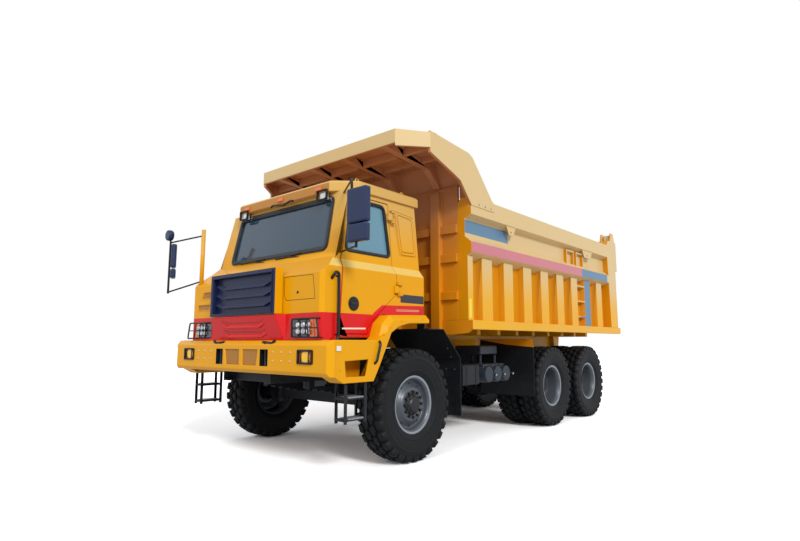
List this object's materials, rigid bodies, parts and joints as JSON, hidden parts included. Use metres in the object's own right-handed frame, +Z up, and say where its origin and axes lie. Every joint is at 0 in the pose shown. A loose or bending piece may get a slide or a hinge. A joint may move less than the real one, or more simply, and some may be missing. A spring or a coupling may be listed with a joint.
{
  "type": "mining dump truck",
  "caption": "Wide-body three-axle mining dump truck with a square cab, a canopy over it, a ribbed tipping bed, twin rear wheels and a top-hung tailgate.",
  "frame": {"origin": "on the ground under the middle of the overall box", "axes": "+Z up, -Y the way the truck drives, +X its left side"},
  "size_m": [3.8023, 8.56, 4.19],
  "materials": {
    "chassis_black": "satin",
    "engine_grey": "satin",
    "tank_grey": "satin",
    "body_yellow": "glossy",
    "mesh_brown": "matte",
    "lamp_clear": "clear",
    "lamp_amber": "glossy",
    "window_glass": "clear",
    "seat_fabric": "matte",
    "dash_plastic": "matte",
    "black_steel": "glossy",
    "mirror_navy": "glossy",
    "grille_navy": "satin",
    "tyre_rubber": "matte",
    "rim_grey": "satin",
    "hoist_steel": "polished"
  },
  "bodies": {
    "chassis": {"frame_rails": "chassis_black", "front_axle_beam": "chassis_black", "rear_axle_housings": "chassis_black", "leaf_springs": "chassis_black", "engine_block": "engine_grey", "driveline": "chassis_black", "fuel_tank": "chassis_black", "air_tanks": "tank_grey", "battery_box": "chassis_black", "bumper": "body_yellow", "bumper_meshes": "mesh_brown", "nose": "body_yellow", "clear_lamps": "lamp_clear", "amber_lamps": "lamp_amber", "cab_shell": "body_yellow", "roof_visor": "body_yellow", "cab_glass": "window_glass", "cab_seats": "seat_fabric", "dashboard": "dash_plastic", "fenders": "body_yellow", "entry_steps": "chassis_black", "grab_pipes": "black_steel", "mudguards": "chassis_black", "mirror_arms": "black_steel", "mirror_heads": "mirror_navy"},
    "grille": {"grille_frame": "body_yellow", "grille_slats": "grille_navy"},
    "left_door": {"door_left": "body_yellow", "door_glass_left": "window_glass"},
    "right_door": {"door_right": "body_yellow", "door_glass_right": "window_glass"},
    "left_knuckle": {"knuckle_left": "chassis_black"},
    "right_knuckle": {"knuckle_right": "chassis_black"},
    "front_left_wheel": {"tyre_front_left": "tyre_rubber", "rim_front_left": "rim_grey"},
    "front_right_wheel": {"tyre_front_right": "tyre_rubber", "rim_front_right": "rim_grey"},
    "middle_left_wheels": {"tyres_middle_left": "tyre_rubber", "rims_middle_left": "rim_grey"},
    "middle_right_wheels": {"tyres_middle_right": "tyre_rubber", "rims_middle_right": "rim_grey"},
    "rear_left_wheels": {"tyres_rear_left": "tyre_rubber", "rims_rear_left": "rim_grey"},
    "rear_right_wheels": {"tyres_rear_right": "tyre_rubber", "rims_rear_right": "rim_grey"},
    "bed": {"bed_floor": "body_yellow", "bed_sides": "body_yellow", "bed_front_wall": "body_yellow", "canopy": "body_yellow"},
    "tailgate_body": {"tailgate": "body_yellow"},
    "hoist_barrel_body": {"hoist_barrel": "hoist_steel"},
    "hoist_first_stage": {"hoist_stage_1": "hoist_steel"},
    "hoist_second_stage": {"hoist_stage_2": "hoist_steel"},
    "hoist_third_stage": {"hoist_stage_3": "hoist_steel"}
  },
  "joints": [
    {"name": "grille_hinge", "type": "hinge", "parent": "chassis", "child": "grille", "pos_m": [0, -4.084, 2.33], "axis": [-1, 0, 0], "range_deg": [0, 75]},
    {"name": "left_door_hinge", "type": "hinge", "parent": "chassis", "child": "left_door", "pos_m": [1.404, -2.82, 2.1], "axis": [-0.1202, 0, 0.9928], "range_deg": [0, 75]},
    {"name": "right_door_hinge", "type": "hinge", "parent": "chassis", "child": "right_door", "pos_m": [-1.404, -2.82, 2.1], "axis": [-0.1202, 0, -0.9928], "range_deg": [0, 75]},
    {"name": "steer_left", "type": "hinge", "parent": "chassis", "child": "left_knuckle", "pos_m": [1.1, -2.68, 0.685], "axis": [0, 0, 1], "range_deg": [-32, 32]},
    {"name": "steer_right", "type": "hinge", "parent": "chassis", "child": "right_knuckle", "pos_m": [-1.1, -2.68, 0.685], "axis": [0, 0, 1], "range_deg": [-32, 32]},
    {"name": "spin_front_left", "type": "hinge", "parent": "left_knuckle", "child": "front_left_wheel", "pos_m": [1.392, -2.68, 0.685], "axis": [1, 0, 0], "continuous": true},
    {"name": "spin_front_right", "type": "hinge", "parent": "right_knuckle", "child": "front_right_wheel", "pos_m": [-1.392, -2.68, 0.685], "axis": [1, 0, 0], "continuous": true},
    {"name": "spin_middle_left", "type": "hinge", "parent": "chassis", "child": "middle_left_wheels", "pos_m": [1.177, 1.17, 0.685], "axis": [1, 0, 0], "continuous": true},
    {"name": "spin_middle_right", "type": "hinge", "parent": "chassis", "child": "middle_right_wheels", "pos_m": [-1.177, 1.17, 0.685], "axis": [1, 0, 0], "continuous": true},
    {"name": "spin_rear_left", "type": "hinge", "parent": "chassis", "child": "rear_left_wheels", "pos_m": [1.177, 2.77, 0.685], "axis": [1, 0, 0], "continuous": true},
    {"name": "spin_rear_right", "type": "hinge", "parent": "chassis", "child": "rear_right_wheels", "pos_m": [-1.177, 2.77, 0.685], "axis": [1, 0, 0], "continuous": true},
    {"name": "bed_tip", "type": "hinge", "parent": "chassis", "child": "bed", "pos_m": [0, 3.42, 1.3], "axis": [-1, 0, 0], "range_deg": [0, 45]},
    {"name": "tailgate_hinge", "type": "hinge", "parent": "bed", "child": "tailgate_body", "pos_m": [0, 3.96, 3.73], "axis": [1, 0, 0], "range_deg": [0, 60]},
    {"name": "hoist_pivot", "type": "hinge", "parent": "chassis", "child": "hoist_barrel_body", "pos_m": [0, -1.86, 1.1], "axis": [-1, 0, 0], "range_deg": [0, 28]},
    {"name": "hoist_slide_1", "type": "slide", "parent": "hoist_barrel_body", "child": "hoist_first_stage", "axis": [0, 0, 1], "range_m": [0, 1.32]},
    {"name": "hoist_slide_2", "type": "slide", "parent": "hoist_first_stage", "child": "hoist_second_stage", "axis": [0, 0, 1], "range_m": [0, 1.32]},
    {"name": "hoist_slide_3", "type": "slide", "parent": "hoist_second_stage", "child": "hoist_third_stage", "axis": [0, 0, 1], "range_m": [0, 1.32]}
  ],
  "couplings": [
    {"joint": "steer_right", "follows": "steer_left", "ratio": 1},
    {"joint": "hoist_pivot", "follows": "bed_tip", "ratio": 0.609},
    {"joint": "hoist_slide_1", "follows": "bed_tip", "m_per_rad": 1.6705},
    {"joint": "hoist_slide_2", "follows": "bed_tip", "m_per_rad": 1.6705},
    {"joint": "hoist_slide_3", "follows": "bed_tip", "m_per_rad": 1.6705}
  ]
}
